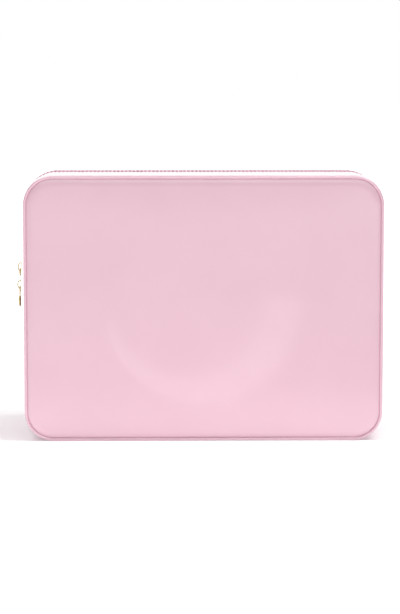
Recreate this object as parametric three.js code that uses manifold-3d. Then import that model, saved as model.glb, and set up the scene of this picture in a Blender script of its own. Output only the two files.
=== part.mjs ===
// A padded, zip-round makeup train case that stands on its long side.
// Millimetres, +Z up, the front door faces -Y, and the base rests on z = 0.
//
// The walls are strips that run round a rounded-rectangle outline. A place on them is given by s, the
// distance along the outline from the middle of the top (negative to the left), by y, the depth, and by
// how far it lies under the outer surface.

import * as THREE from 'three';
import * as BufferGeometryUtils from 'three/addons/utils/BufferGeometryUtils.js';
import Module from 'manifold-3d';

const wasm = await Module();
wasm.setup();

// ---------------------------------------------------------------- driving dimensions

const WIDTH = 304;
const HEIGHT = 225;
const DEPTH = 150;
const CORNER_RADIUS = 25;
const GAP = 0.3; // between pieces that touch on the real case

// How far the soft sides swell at mid-depth, as [height, swell], joined by straight lines.
const SIDE_SWELL = [[0, 0], [25, 0], [42, 4], [62, 6], [134, 6], [200, 1.5], [225, 0.6]];

const PIPING_RADIUS = 1.2;
const PIPING_LIFT = 0.2; // keeps the piping just inside the walls' outer surface
const EDGE_DIP = 0.8; // the walls dip this much where they meet the piping
const EDGE_DIP_LENGTH = 6;

const SKIN = 1.2;
const STIFFENER = 1;
const LINING = 0.6;
const LAYER_GAP = 0.5; // between the curved layers of a wall
const STIFFENER_UNDER = SKIN + LAYER_GAP; // each layer's distance under the outer surface
const LINING_UNDER = STIFFENER_UNDER + STIFFENER + LAYER_GAP;
const BINDING_UNDER = LINING_UNDER + LINING + LAYER_GAP;

const PANEL_SKIN = 1;
const FOAM = 4;
const PANEL_BOARD = 2;
const PANEL_LINING = 0.8;
const PANEL_BOARD_INSET = 3.2;
const PANEL_LINING_INSET = 4.5;

// The zip runs at mid-depth down each side, then curves forward round the lower corner to the front.
const CURVE_TOP = 62; // height where it starts to curve
const CURVE_STEPS = 14;
const ZIP_FRONT = 66; // how far forward of mid-depth it ends
const COIL_FROM = 0.6; // distances from the zip's middle line
const COIL_TO = 2.4;
const COIL_UNDER = 0.3;
const COIL_THICKNESS = 1.8;
const TAPE_FROM = COIL_TO + GAP;
const TAPE_TO = 10.5;
const TAPE_UNDER = SKIN + LAYER_GAP;
const TAPE_THICKNESS = 0.6;
const SKIN_EDGE = 4.8;
const LINING_EDGE = 6.5;
const STIFFENER_EDGE = 12;

const UPPER_SLIDER_HEIGHT = 142;
const LOWER_SLIDER_HEIGHT = 126.4;
const UPPER_PULL_LEAN = THREE.MathUtils.degToRad(80); // its pull leans back, beside the lower slider

const COLOURS = { pink: 0xefc3d2, tape: 0xeab9ca, lining: 0xf1d3dc, board: 0xd9d3c8, foam: 0xf3ead0, gold: 0xd9b765 };

// ---------------------------------------------------------------- the outline and the walls' surface

const TOP_HALF = WIDTH / 2 - CORNER_RADIUS;
const CORNER = (Math.PI / 2) * CORNER_RADIUS;
const SIDE = HEIGHT - 2 * CORNER_RADIUS;
const HALF_ROUND = 2 * TOP_HALF + 2 * CORNER + SIDE;
const PIPING_Y = DEPTH / 2 - PIPING_RADIUS;
const WALL_EDGE_Y = PIPING_Y - PIPING_RADIUS - GAP;

const TOP_CORNER_END = TOP_HALF + CORNER;
const CURVE_START = TOP_CORNER_END + HEIGHT - CORNER_RADIUS - CURVE_TOP;
const CURVE_END = TOP_CORNER_END + SIDE + CORNER;
const CURVE_LENGTH = CURVE_END - CURVE_START;

// The point of the outline at distance s, moved inward by inset, as [x, z].
function outlineAt(s, inset) {
  let d = Math.abs(s);
  let x = d;
  let z = HEIGHT;
  let [normalX, normalZ] = [0, 1];
  if (d > TOP_HALF) {
    d -= TOP_HALF;
    const angle = Math.min(d, CORNER) / CORNER_RADIUS;
    [normalX, normalZ] = [Math.sin(angle), Math.cos(angle)];
    x = TOP_HALF + CORNER_RADIUS * normalX;
    z = HEIGHT - CORNER_RADIUS + CORNER_RADIUS * normalZ;
  }
  if (d > CORNER && Math.abs(s) > TOP_HALF) {
    d -= CORNER;
    z -= Math.min(d, SIDE);
    if (d > SIDE) {
      d -= SIDE;
      const angle = Math.min(d, CORNER) / CORNER_RADIUS;
      [normalX, normalZ] = [Math.cos(angle), -Math.sin(angle)];
      x = TOP_HALF + CORNER_RADIUS * normalX - Math.max(0, d - CORNER);
      z = CORNER_RADIUS + CORNER_RADIUS * normalZ;
    }
  }
  const side = s < 0 ? -1 : 1;
  return [side * (x - inset * normalX), z - inset * normalZ];
}

function swellAt(height) {
  const next = Math.max(1, SIDE_SWELL.findIndex(([z]) => z >= height - 1e-6));
  const [[z0, swell0], [z1, swell1]] = [SIDE_SWELL[next - 1], SIDE_SWELL[next]];
  return THREE.MathUtils.mapLinear(height, z0, z1, swell0, swell1);
}

// A point of the walls, under their outer surface.
function wallPoint([s, y], under) {
  const swell = swellAt(outlineAt(s, 0)[1]) * (1 - (y / PIPING_Y) ** 2);
  const dip = EDGE_DIP * Math.max(0, 1 - (PIPING_Y - Math.abs(y)) / EDGE_DIP_LENGTH);
  const [x, z] = outlineAt(s, under + dip - swell);
  return new THREE.Vector3(x, y, z);
}

// ---------------------------------------------------------------- places along the outline

function spaced(from, to, steps) {
  return Array.from({ length: steps }, (_, i) => from + ((to - from) * i) / steps);
}

const swellKinks = SIDE_SWELL.filter(([z]) => z > CURVE_TOP && z < HEIGHT - CORNER_RADIUS)
  .map(([z]) => TOP_CORNER_END + HEIGHT - CORNER_RADIUS - z);
const curveStations = spaced(0, Math.PI / 2, CURVE_STEPS)
  .map((angle) => CURVE_START + CURVE_LENGTH * Math.sin(angle));

// Half of the zip's way round, from the middle of the top to its end at the front.
const halfZip = [
  ...spaced(0, TOP_HALF, 2),
  ...spaced(TOP_HALF, TOP_CORNER_END, 5),
  TOP_CORNER_END,
  (TOP_CORNER_END + swellKinks[0]) / 2,
  ...swellKinks,
  (swellKinks[0] + CURVE_START) / 2,
  ...curveStations,
  CURVE_END,
];
const halfBase = [CURVE_END + 7, (CURVE_END + HALF_ROUND) / 2];

function mirrored(half) {
  return [...half.slice(1).reverse().map((s) => -s), ...half];
}

const zipStations = mirrored(halfZip);
const ringStations = [...mirrored([...halfZip, ...halfBase]), HALF_ROUND];

function stationsBetween(from, to) {
  return [from, ...ringStations.filter((s) => s > from + 1 && s < to - 1), to];
}

// The zip's line at station s, moved sideways: towards the back and the base when aside is positive.
function zipLine(s, aside) {
  const side = s < 0 ? -1 : 1;
  const along = Math.max(0, Math.abs(s) - CURVE_START) / CURVE_LENGTH;
  const angle = Math.asin(Math.min(1, along));
  const tangent = new THREE.Vector2(CURVE_LENGTH * Math.cos(angle), -ZIP_FRONT * Math.sin(angle)).normalize();
  const y = -ZIP_FRONT * (1 - Math.cos(angle));
  return [side * (Math.abs(s) - aside * tangent.y), y + aside * tangent.x];
}

// ---------------------------------------------------------------- closed meshes from cross-sections

function geometryOf(points, triangles) {
  const geometry = new THREE.BufferGeometry().setFromPoints(points);
  const volume = triangles.reduce((sum, [a, b, c]) => (
    sum + points[a].dot(new THREE.Vector3().crossVectors(points[b], points[c]))), 0);
  const outward = volume > 0 ? triangles : triangles.map(([a, b, c]) => [a, c, b]);
  geometry.setIndex(outward.flat());
  return geometry;
}

// Joins matching sections, each a closed loop of points, into one solid. An open run gets end faces, which
// pair each section's first half with its second half.
function swept(sections, isRing) {
  const size = sections[0].length;
  const triangles = [];
  const quad = (a, b, c, d) => triangles.push([a, b, c], [a, c, d]);
  const runs = isRing ? sections.length : sections.length - 1;
  for (let i = 0; i < runs; i += 1) {
    const [here, next] = [i * size, ((i + 1) % sections.length) * size];
    for (let j = 0; j < size; j += 1) {
      const k = (j + 1) % size;
      quad(here + j, here + k, next + k, next + j);
    }
  }
  if (!isRing) {
    const last = (sections.length - 1) * size;
    for (let j = 0; j < size / 2 - 1; j += 1) {
      const [a, b, c, d] = [j, size - 1 - j, size - 2 - j, j + 1];
      quad(a, b, c, d);
      quad(last + a, last + d, last + c, last + b);
    }
  }
  return geometryOf(sections.flat(), triangles);
}

// A strip of wall between two edges, each a list of [s, y] places.
function strip(frontEdge, backEdge, under, thickness, rows, isRing = false) {
  const sections = frontEdge.map((front, i) => {
    const places = rows.map((t) => front.map((value, k) => THREE.MathUtils.lerp(value, backEdge[i][k], t)));
    return [
      ...places.map((place) => wallPoint(place, under)),
      ...places.reverse().map((place) => wallPoint(place, under + thickness)),
    ];
  });
  return swept(sections, isRing);
}

// A solid ring all round the case, with a section of [inset, y] points.
function ring(section) {
  return swept(ringStations.map((s) => section.map(([inset, y]) => {
    const [x, z] = outlineAt(s, inset);
    return new THREE.Vector3(x, y, z);
  })), true);
}

// A solid that fills the outline. Its profile of [inset, y] points runs from one face to the other, and
// both ends close on the middle of a face.
function panel(profile) {
  const size = profile.length;
  const points = ringStations.flatMap((s) => profile.map(([inset, y]) => {
    const [x, z] = outlineAt(s, inset);
    return new THREE.Vector3(x, y, z);
  }));
  const [firstMiddle, lastMiddle] = [points.length, points.length + 1];
  points.push(new THREE.Vector3(0, profile[0][1], HEIGHT / 2));
  points.push(new THREE.Vector3(0, profile[size - 1][1], HEIGHT / 2));
  const triangles = [];
  for (let i = 0; i < ringStations.length; i += 1) {
    const [here, next] = [i * size, ((i + 1) % ringStations.length) * size];
    for (let j = 0; j < size - 1; j += 1) {
      triangles.push([here + j, here + j + 1, next + j + 1], [here + j, next + j + 1, next + j]);
    }
    triangles.push([firstMiddle, here, next], [lastMiddle, next + size - 1, here + size - 1]);
  }
  return geometryOf(points, triangles);
}

function slab(inset, y, thickness) {
  return panel([[inset, y], [inset, y + thickness]]);
}

// ---------------------------------------------------------------- booleans and small shapes

function solidOf(geometry) {
  const bare = geometry.clone();
  bare.deleteAttribute('normal');
  bare.deleteAttribute('uv');
  const merged = BufferGeometryUtils.mergeVertices(bare, 1e-4);
  return new wasm.Manifold(new wasm.Mesh({
    numProp: 3,
    vertProperties: new Float32Array(merged.attributes.position.array),
    triVerts: new Uint32Array(merged.index.array),
  }));
}

function joined(geometries) {
  const mesh = geometries.map(solidOf).reduce((whole, piece) => whole.add(piece)).getMesh();
  const geometry = new THREE.BufferGeometry();
  geometry.setAttribute('position', new THREE.BufferAttribute(mesh.vertProperties, 3));
  geometry.setIndex(new THREE.BufferAttribute(mesh.triVerts, 1));
  return geometry;
}

function box(width, depth, height, x = 0, y = 0, z = 0) {
  return new THREE.BoxGeometry(width, depth, height).translate(x, y, z);
}

// An outline of [y, z] points cut from a plate whose thickness lies between two x values.
function plate(outline, fromX, toX, hole) {
  const shape = new THREE.Shape(outline.map(([y, z]) => new THREE.Vector2(y, z)));
  if (hole) {
    shape.holes.push(new THREE.Path(hole.map(([y, z]) => new THREE.Vector2(y, z))));
  }
  const geometry = new THREE.ExtrudeGeometry(shape, { depth: toX - fromX, bevelEnabled: false });
  geometry.applyMatrix4(new THREE.Matrix4().makeBasis(
    new THREE.Vector3(0, 1, 0), new THREE.Vector3(0, 0, 1), new THREE.Vector3(1, 0, 0)));
  return geometry.translate(fromX, 0, 0);
}

// ---------------------------------------------------------------- materials and the scene graph

const trainCase = new THREE.Group();

function material(colour, roughness, metalness = 0) {
  return new THREE.MeshStandardMaterial({ color: colour, roughness, metalness });
}

const FINISHES = {
  patent: () => material(COLOURS.pink, 0.12),
  tape: () => material(COLOURS.tape, 0.85),
  coil: () => material(COLOURS.tape, 0.4),
  lining: () => material(COLOURS.lining, 0.9),
  board: () => material(COLOURS.board, 0.8),
  foam: () => material(COLOURS.foam, 0.95),
  gold: () => material(COLOURS.gold, 0.2, 1),
};

function add(name, geometry, finish, parent = trainCase) {
  const mesh = new THREE.Mesh(geometry, FINISHES[finish]());
  mesh.name = name;
  parent.add(mesh);
  return mesh;
}

// ---------------------------------------------------------------- front and back panels

// side is -1 for the front and 1 for the back.
function addPanel(prefix, side) {
  const outer = DEPTH / 2;
  const edgeInset = 2 * PIPING_RADIUS + PIPING_LIFT + GAP;
  const skinRise = [[12, 0], [7, 0.2], [edgeInset + 1.5, 0.8], [edgeInset, 2]];
  const skinProfile = [
    ...skinRise.map(([inset, back]) => [inset, side * (outer - back)]),
    ...skinRise.reverse().map(([inset, back]) => [inset + 0.2, side * (outer - PANEL_SKIN - back)]),
  ];
  add(`${prefix}_panel`, panel(skinProfile), 'patent');

  const foamOuter = outer - PANEL_SKIN - GAP;
  const foamProfile = [[14, 0], [9, 0.4], [7, 1.2], [7, FOAM], [14, FOAM]];
  add(`${prefix}_foam`, panel(foamProfile.map(([inset, back]) => [inset, side * (foamOuter - back)])), 'foam');

  const boardOuter = foamOuter - FOAM - GAP;
  add(`${prefix}_board`, slab(PANEL_BOARD_INSET, side * boardOuter, -side * PANEL_BOARD), 'board');

  const liningOuter = boardOuter - PANEL_BOARD - GAP;
  add(`${prefix}_lining`, slab(PANEL_LINING_INSET, side * liningOuter, -side * PANEL_LINING), 'lining');

  const sides = 8;
  const pipingSection = Array.from({ length: sides }, (_, i) => {
    const angle = (2 * Math.PI * (i + 0.5)) / sides;
    return [
      PIPING_LIFT + PIPING_RADIUS * (1 + Math.cos(angle)),
      side * PIPING_Y + PIPING_RADIUS * Math.sin(angle),
    ];
  });
  add(`${prefix}_piping`, ring(pipingSection), 'patent');
  return liningOuter - PANEL_LINING;
}

const innerY = addPanel('front', -1);
addPanel('back', 1);

// ---------------------------------------------------------------- walls

const SIDE_ROWS = [0, 0.08, 0.31, 0.54, 0.77, 0.92, 1];
const LINING_ROWS = [0, 0.25, 0.5, 0.75, 1];
const liningY = innerY - GAP;

// The body's strips go right round: past the zip's ends they reach the front edge of the base.
function bodyFront(aside, edgeY) {
  return ringStations.map((s) => (Math.abs(s) > CURVE_END ? [s, -edgeY] : zipLine(s, aside)));
}

const along = (edge, y) => edge.map(([s]) => [s, y]);

const gussetFront = bodyFront(SKIN_EDGE, WALL_EDGE_Y);
add('body_gusset', strip(gussetFront, along(gussetFront, WALL_EDGE_Y), 0, SKIN, SIDE_ROWS, true), 'patent');

const bodyLiningFront = bodyFront(LINING_EDGE, liningY);
add('body_lining', strip(bodyLiningFront, along(bodyLiningFront, liningY), LINING_UNDER, LINING,
  LINING_ROWS, true), 'lining');

const doorGussetBack = zipStations.map((s) => zipLine(s, -SKIN_EDGE));
add('door_gusset', strip(along(doorGussetBack, -WALL_EDGE_Y), doorGussetBack, 0, SKIN, SIDE_ROWS), 'patent');

const liningStations = zipStations.filter((s) => Math.abs(s) < CURVE_START + 0.9 * CURVE_LENGTH);
const doorLiningBack = liningStations.map((s) => zipLine(s, -LINING_EDGE));
add('door_lining', strip(along(doorLiningBack, -liningY), doorLiningBack, LINING_UNDER, LINING, LINING_ROWS),
  'lining');

// Tape sewn over the raw seam inside each panel.
const BINDING_WIDTH = 8;
const bindingBack = ringStations.map((s) => [s, liningY]);
add('back_binding', strip(along(bindingBack, liningY - BINDING_WIDTH), bindingBack, BINDING_UNDER, LINING,
  [0, 1], true), 'tape');
const bindingStations = zipStations.filter((s) => Math.abs(s) < CURVE_START + 0.6 * CURVE_LENGTH);
const bindingFront = bindingStations.map((s) => [s, -liningY]);
add('front_binding', strip(bindingFront, along(bindingFront, BINDING_WIDTH - liningY), BINDING_UNDER, LINING,
  [0, 1]), 'tape');

// The fabric hinge along the front of the base, on the inside.
const hingeStations = [CURVE_END + 7, (CURVE_END + HALF_ROUND) / 2, HALF_ROUND];
const hingeLine = [...hingeStations, ...hingeStations.slice(0, 2).reverse().map((s) => 2 * HALF_ROUND - s)];
const acrossBase = (s) => (s > HALF_ROUND ? s - 2 * HALF_ROUND : s);
const hingeFront = hingeLine.map((s) => [acrossBase(s), -liningY]);
add('hinge_strip', strip(hingeFront, along(hingeFront, 2 * BINDING_WIDTH - liningY), BINDING_UNDER, LINING,
  [0, 1]), 'tape');

// Stiffener boards inside the straight walls.
const STIFFENER_ROWS = [0, 0.25, 0.5, 0.75, 1];
const boardY = liningY - 1;
const sideFrom = TOP_CORNER_END + 4;
const sideTo = CURVE_START - 4;
const WALLS = { left: [-sideTo, -sideFrom], top: [4 - TOP_HALF, TOP_HALF - 4], right: [sideFrom, sideTo] };
for (const [wall, [from, to]] of Object.entries(WALLS)) {
  const stations = stationsBetween(from, to);
  const at = (y) => stations.map((s) => [s, y]);
  add(`body_${wall}_stiffener`, strip(at(STIFFENER_EDGE), at(boardY), STIFFENER_UNDER, STIFFENER,
    STIFFENER_ROWS), 'board');
  add(`door_${wall}_stiffener`, strip(at(-boardY), at(-STIFFENER_EDGE), STIFFENER_UNDER, STIFFENER,
    STIFFENER_ROWS), 'board');
}
const BASE_BOARD_MARGIN = 15;
add('base_board', box(2 * (TOP_HALF - BASE_BOARD_MARGIN), 2 * boardY, STIFFENER, 0, 0,
  STIFFENER_UNDER + STIFFENER / 2), 'board');

// ---------------------------------------------------------------- zip tapes, coils and stops

for (const [body, direction] of [['body', 1], ['door', -1]]) {
  const edge = (distance) => zipStations.map((s) => zipLine(s, direction * distance));
  add(`${body}_zip_tape`, strip(edge(TAPE_FROM), edge(TAPE_TO), TAPE_UNDER, TAPE_THICKNESS, [0, 1]), 'tape');
  add(`${body}_zip_coil`, strip(edge(COIL_FROM), edge(COIL_TO), COIL_UNDER, COIL_THICKNESS, [0, 1]), 'coil');
}

const STOP_LENGTH = 2.2;
for (const [side, sign] of [['left', -1], ['right', 1]]) {
  const [x, z] = outlineAt(sign * CURVE_END, COIL_UNDER + COIL_THICKNESS / 2);
  add(`zip_stop_${side}`, box(2 * COIL_TO, STOP_LENGTH, COIL_THICKNESS, x,
    -ZIP_FRONT - GAP - STOP_LENGTH / 2, z), 'gold');
}

// ---------------------------------------------------------------- zip sliders and pulls

// These are drawn about a point on the outer surface at the zip's middle line, with outward as -X.
const SLIDER_LENGTH = 12.5;
const HEAD_HALF_WIDTH = 5.2;
const TAIL_HALF_WIDTH = 3.8;
const SLIDER_LIFT = 0.3;
const PLATE_THICKNESS = 1;
const LOWER_PLATE_UNDER = COIL_UNDER + COIL_THICKNESS + 0.4;
const WEB_THICKNESS = 0.6;
const BAIL_LENGTH = 8.6;
const BAIL_WIDTH = 1.8;
const BAIL_HEIGHT = 3.1;
const BAIL_THICKNESS = 1;
// headUp is 1 when the wide end is uppermost, and -1 when it is the lower end.
function sliderGeometry(headUp) {
  const half = SLIDER_LENGTH / 2;
  const outline = [
    [-TAIL_HALF_WIDTH, -half + 1], [-TAIL_HALF_WIDTH + 1, -half], [TAIL_HALF_WIDTH - 1, -half],
    [TAIL_HALF_WIDTH, -half + 1], [TAIL_HALF_WIDTH, -1], [HEAD_HALF_WIDTH, 2], [HEAD_HALF_WIDTH, half - 1.5],
    [HEAD_HALF_WIDTH - 1.5, half], [1.5, half], [0, half - 1], [-1.5, half], [-HEAD_HALF_WIDTH + 1.5, half],
    [-HEAD_HALF_WIDTH, half - 1.5], [-HEAD_HALF_WIDTH, 2], [-TAIL_HALF_WIDTH, -1],
  ];
  const plateTop = -SLIDER_LIFT - PLATE_THICKNESS;
  const web = box(LOWER_PLATE_UNDER + SLIDER_LIFT + 0.4, WEB_THICKNESS, 3.5,
    (LOWER_PLATE_UNDER - SLIDER_LIFT) / 2, 0, 2.5);

  const arch = new THREE.Shape();
  arch.absellipse(0, 0, BAIL_LENGTH / 2, BAIL_HEIGHT, 0, Math.PI);
  arch.absellipse(0, 0, BAIL_LENGTH / 2 - BAIL_THICKNESS, BAIL_HEIGHT - BAIL_THICKNESS, Math.PI, 0, true);
  arch.closePath();
  const bail = new THREE.ExtrudeGeometry(arch, { depth: BAIL_WIDTH, bevelEnabled: false, curveSegments: 10 });
  bail.applyMatrix4(new THREE.Matrix4().makeBasis(
    new THREE.Vector3(0, 0, 1), new THREE.Vector3(-1, 0, 0), new THREE.Vector3(0, -1, 0)));
  bail.translate(plateTop + 0.2, BAIL_WIDTH / 2, 0);

  const slider = joined([
    plate(outline, plateTop, -SLIDER_LIFT),
    plate(outline, LOWER_PLATE_UNDER, LOWER_PLATE_UNDER + PLATE_THICKNESS),
    web,
    bail,
  ]);
  return headUp > 0 ? slider : slider.rotateX(Math.PI);
}

// A pull is drawn about the bail's lower leg, which its eye goes round. The eye's top bar passes under the
// bail, and below the eye the pull swells to a drop.
const LEG_DROP = (BAIL_LENGTH - BAIL_THICKNESS) / 2;
const BAR_ABOVE_LEG = 2.2;
const BAR_HALF = 0.6;
const FRAME_THICKNESS = 0.9;
const FRAME_LIFT = SLIDER_LIFT + PLATE_THICKNESS + GAP + FRAME_THICKNESS / 2;
const EYE_HALF_WIDTH = 1.5;
const EYE_END = 4.6; // below the leg
const ARM_WIDTH = 0.8;
const DROP_START = 5.2;
const PULL_TIP = 16.6;
const DROP_HALF_WIDTH = 3.6;
const DROP_FLATNESS = 0.42;

function pullGeometry() {
  const [top, outer, bottom] = [BAR_ABOVE_LEG + BAR_HALF, EYE_HALF_WIDTH + ARM_WIDTH, -EYE_END - 2];
  const [eyeTop, inner] = [BAR_ABOVE_LEG - BAR_HALF, EYE_HALF_WIDTH];
  const frame = plate(
    [[-outer, top], [outer, top], [outer, bottom], [-outer, bottom]],
    -FRAME_THICKNESS / 2, FRAME_THICKNESS / 2,
    [[-inner, eyeTop], [-inner, -EYE_END], [inner, -EYE_END], [inner, eyeTop]],
  );
  const steps = 8;
  const profile = Array.from({ length: steps + 1 }, (_, i) => {
    const t = 1 - i / steps;
    const isTip = i === 0 || i === steps;
    const radius = isTip ? 0 : DROP_HALF_WIDTH * Math.sin(Math.PI * t ** 0.8) ** 0.8;
    return new THREE.Vector2(radius, -DROP_START - (PULL_TIP - DROP_START) * t);
  });
  const drop = new THREE.LatheGeometry(profile, 12).rotateX(Math.PI / 2).scale(DROP_FLATNESS, 1, 1);
  return joined([frame, drop]);
}

function addSlider(prefix, height, headUp, pullLean) {
  const group = new THREE.Group();
  const swell = swellAt(height);
  group.position.set(-WIDTH / 2 - swell, 0, height);
  group.rotation.y = Math.atan(swell - swellAt(height + 1));
  trainCase.add(group);
  add(`${prefix}_slider`, sliderGeometry(headUp), 'gold', group);
  const pull = add(`${prefix}_pull`, pullGeometry(), 'gold', group);
  pull.position.set(-FRAME_LIFT, 0, -LEG_DROP);
  pull.rotation.x = pullLean;
}

addSlider('upper', UPPER_SLIDER_HEIGHT, -1, UPPER_PULL_LEAN);
addSlider('lower', LOWER_SLIDER_HEIGHT, 1, 0);

// ---------------------------------------------------------------- fittings inside

const POCKET_WIDTH = 236;
const POCKET_HEIGHT = 96;
const POCKET_BOTTOM = 12;
const POCKET_BINDING = 6;
const STRAP_WIDTH = 230;
const STRAP_HEIGHT = 28;
const STRAP_MIDDLE = 138;

const pocketY = innerY - GAP - LINING / 2 - 0.2;
add('slip_pocket', box(POCKET_WIDTH, LINING, POCKET_HEIGHT, 0, pocketY, POCKET_BOTTOM + POCKET_HEIGHT / 2),
  'lining');
add('pocket_binding', box(POCKET_WIDTH, 1.4, POCKET_BINDING, 0, innerY - 1.2,
  POCKET_BOTTOM + POCKET_HEIGHT + GAP + POCKET_BINDING / 2), 'tape');
add('brush_strap', box(STRAP_WIDTH, 0.9, STRAP_HEIGHT, 0, 0.9 - innerY, STRAP_MIDDLE), 'tape');

export default trainCase;
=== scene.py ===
"""A glossy pink makeup train case: padded patent panels, piping, a stitched gusset and a two-way zip.

Lengths are in millimetres, but in metres for the camera, the lights and the floor's glow. A place on the
walls is (s, y): s is the distance round the case's outline from the middle of the top, negative to the left,
and y is the depth. under is how far a point lies below the walls' outer surface.
"""

import math

import bpy
import numpy as np
from mathutils import Matrix, Vector


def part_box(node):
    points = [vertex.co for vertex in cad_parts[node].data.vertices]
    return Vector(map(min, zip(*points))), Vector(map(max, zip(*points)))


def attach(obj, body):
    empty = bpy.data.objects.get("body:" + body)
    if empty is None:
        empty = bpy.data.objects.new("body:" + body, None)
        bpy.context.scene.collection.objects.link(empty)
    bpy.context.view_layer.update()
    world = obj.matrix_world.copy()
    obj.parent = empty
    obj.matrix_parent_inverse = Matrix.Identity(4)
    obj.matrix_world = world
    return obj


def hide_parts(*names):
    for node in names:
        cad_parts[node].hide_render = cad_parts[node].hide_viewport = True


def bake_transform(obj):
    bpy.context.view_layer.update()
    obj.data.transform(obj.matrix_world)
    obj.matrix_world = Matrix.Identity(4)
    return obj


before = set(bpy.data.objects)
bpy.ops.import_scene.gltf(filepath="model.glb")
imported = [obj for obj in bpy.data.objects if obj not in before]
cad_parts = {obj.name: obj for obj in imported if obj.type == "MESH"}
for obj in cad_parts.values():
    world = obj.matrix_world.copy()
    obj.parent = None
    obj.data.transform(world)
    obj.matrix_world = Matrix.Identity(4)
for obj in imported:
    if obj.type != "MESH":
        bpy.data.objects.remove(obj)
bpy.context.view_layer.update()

MM = 0.001

# ---------------------------------------------------------------- sizes


def box_mm(node):
    """Two opposite corners of a CAD node's box in the frame."""
    low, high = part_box(node)
    return np.array(low) / MM, np.array(high) / MM


FRONT_Y = box_mm("front_panel")[0][1]
WIDTH = 304.0
HEIGHT = 225.0
MIDDLE = HEIGHT / 2
CORNER_RADIUS = 25.0

PIPING_RADIUS = 1.2
PIPING_LIFT = 0.2
PIPING_Y = -FRONT_Y - PIPING_RADIUS
SEAM_GAP = 0.2
WALL_EDGE_Y = PIPING_Y - PIPING_RADIUS - SEAM_GAP

# Height, and how far the side stands out there.
SIDE_SWELL = ((0, 0), (25, 0), (42, 4), (62, 6), (134, 6), (200, 1.5), (225, 0.6))
SWELL_EASE = 6.0
EDGE_DIP = 0.8
EDGE_DIP_LENGTH = 6.0

# Thicknesses, and where the layers below the skin lie.
SKIN = 1.2
LINING = 0.6
LINING_UNDER = 3.2
LINING_Y = 66.0
BINDING_UNDER = 4.3

# The zip turns forward below CURVE_TOP. FROM, TO and EDGE are distances from its middle line.
CURVE_TOP = 62.0
ZIP_FRONT = 66.0
COIL_UNDER = 0.3
COIL_THICKNESS = 1.8
TAPE_FROM = 0.6
TAPE_TO = 10.5
TAPE_UNDER = 1.7
TAPE_THICKNESS = 0.6
SKIN_EDGE = 4.8
LINING_EDGE = 6.5

TOP_HALF = WIDTH / 2 - CORNER_RADIUS
CORNER = math.pi / 2 * CORNER_RADIUS
SIDE = HEIGHT - 2 * CORNER_RADIUS
HALF_ROUND = 2 * TOP_HALF + 2 * CORNER + SIDE
TOP_CORNER_END = TOP_HALF + CORNER
CURVE_START = TOP_CORNER_END + HEIGHT - CORNER_RADIUS - CURVE_TOP
CURVE_END = TOP_CORNER_END + SIDE + CORNER
CURVE_LENGTH = CURVE_END - CURVE_START

# ---------------------------------------------------------------- the walls' surface


def outline(s, inset):
    """The outline's x and z at distance s, moved inward by inset."""
    s, inset = np.broadcast_arrays(np.asarray(s, float), np.asarray(inset, float))
    d = np.abs(s)
    top_turn = np.clip((d - TOP_HALF) / CORNER_RADIUS, 0, math.pi / 2)
    down = np.clip(d - TOP_CORNER_END, 0, SIDE)
    low_turn = np.clip((d - TOP_CORNER_END - SIDE) / CORNER_RADIUS, 0, math.pi / 2)
    back = np.clip(d - CURVE_END, 0, None)
    turn = top_turn + low_turn
    normal_x, normal_z = np.sin(turn), np.cos(turn)
    x = np.minimum(d, TOP_HALF) - back + CORNER_RADIUS * normal_x
    z = HEIGHT - CORNER_RADIUS - down + CORNER_RADIUS * normal_z
    side = np.where(s < 0, -1.0, 1.0)
    return side * (x - inset * normal_x), z - inset * normal_z


def swell_at(z):
    """How far the soft side stands out at mid-depth, eased over the kinks of its few points."""
    heights, swells = zip(*SIDE_SWELL)
    steps = np.linspace(-SWELL_EASE, SWELL_EASE, 7)
    return np.mean([np.interp(z + step, heights, swells) for step in steps], axis=0)


def wall(s, y, under):
    """Points of the walls as an array whose last axis is x, y, z. Nothing sinks below the table."""
    s, y, under = np.broadcast_arrays(np.asarray(s, float), np.asarray(y, float), np.asarray(under, float))
    swell = swell_at(outline(s, 0)[1]) * (1 - (y / PIPING_Y) ** 2)
    swell = np.where(np.abs(s) > CURVE_END, 0, swell)
    dip = EDGE_DIP * np.clip(1 - (PIPING_Y - np.abs(y)) / EDGE_DIP_LENGTH, 0, 1) ** 2
    x, z = outline(s, under + dip - swell)
    return np.stack([x, y, np.maximum(z, 0.0)], axis=-1)


def zip_line(s, aside):
    """The zip's line at s, moved sideways: towards the back and the base when aside is positive."""
    s, aside = np.broadcast_arrays(np.asarray(s, float), np.asarray(aside, float))
    along = np.clip((np.abs(s) - CURVE_START) / CURVE_LENGTH, 0, 1)
    angle = np.arcsin(along)
    tangent_s, tangent_y = CURVE_LENGTH * np.cos(angle), -ZIP_FRONT * np.sin(angle)
    length = np.hypot(tangent_s, tangent_y)
    y = -ZIP_FRONT * (1 - np.cos(angle)) + aside * tangent_s / length
    return np.sign(s + 1e-9) * (np.abs(s) - aside * tangent_y / length), y


def along_zip(step):
    """Stations all along the zip, about step apart along its own line."""
    angles = np.linspace(0, math.pi / 2, int(1.5 * CURVE_LENGTH / step) + 1)
    curved = CURVE_START + CURVE_LENGTH * np.sin(angles)
    straight = np.linspace(0, CURVE_START, int(CURVE_START / step) + 1)[:-1]
    half = np.concatenate([straight, curved])
    return np.concatenate([-half[:0:-1], half])


def evenly_along_zip(pitch):
    """Stations exactly one pitch apart along the zip's own line."""
    dense = along_zip(0.5)
    _, y = zip_line(dense, 0)
    run = np.concatenate([[0], np.cumsum(np.hypot(np.diff(dense), np.diff(y)))])
    count = int(run[-1] / pitch)
    return np.interp((np.arange(count) + 0.5) * run[-1] / count, run, dense)


def round_case(step):
    """Stations all round the case, starting at the middle of the base."""
    base = np.linspace(CURVE_END, HALF_ROUND, int((HALF_ROUND - CURVE_END) / step) + 1)[1:]
    return np.concatenate([-base[:-1][::-1], along_zip(step), base])


# ---------------------------------------------------------------- meshes


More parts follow.
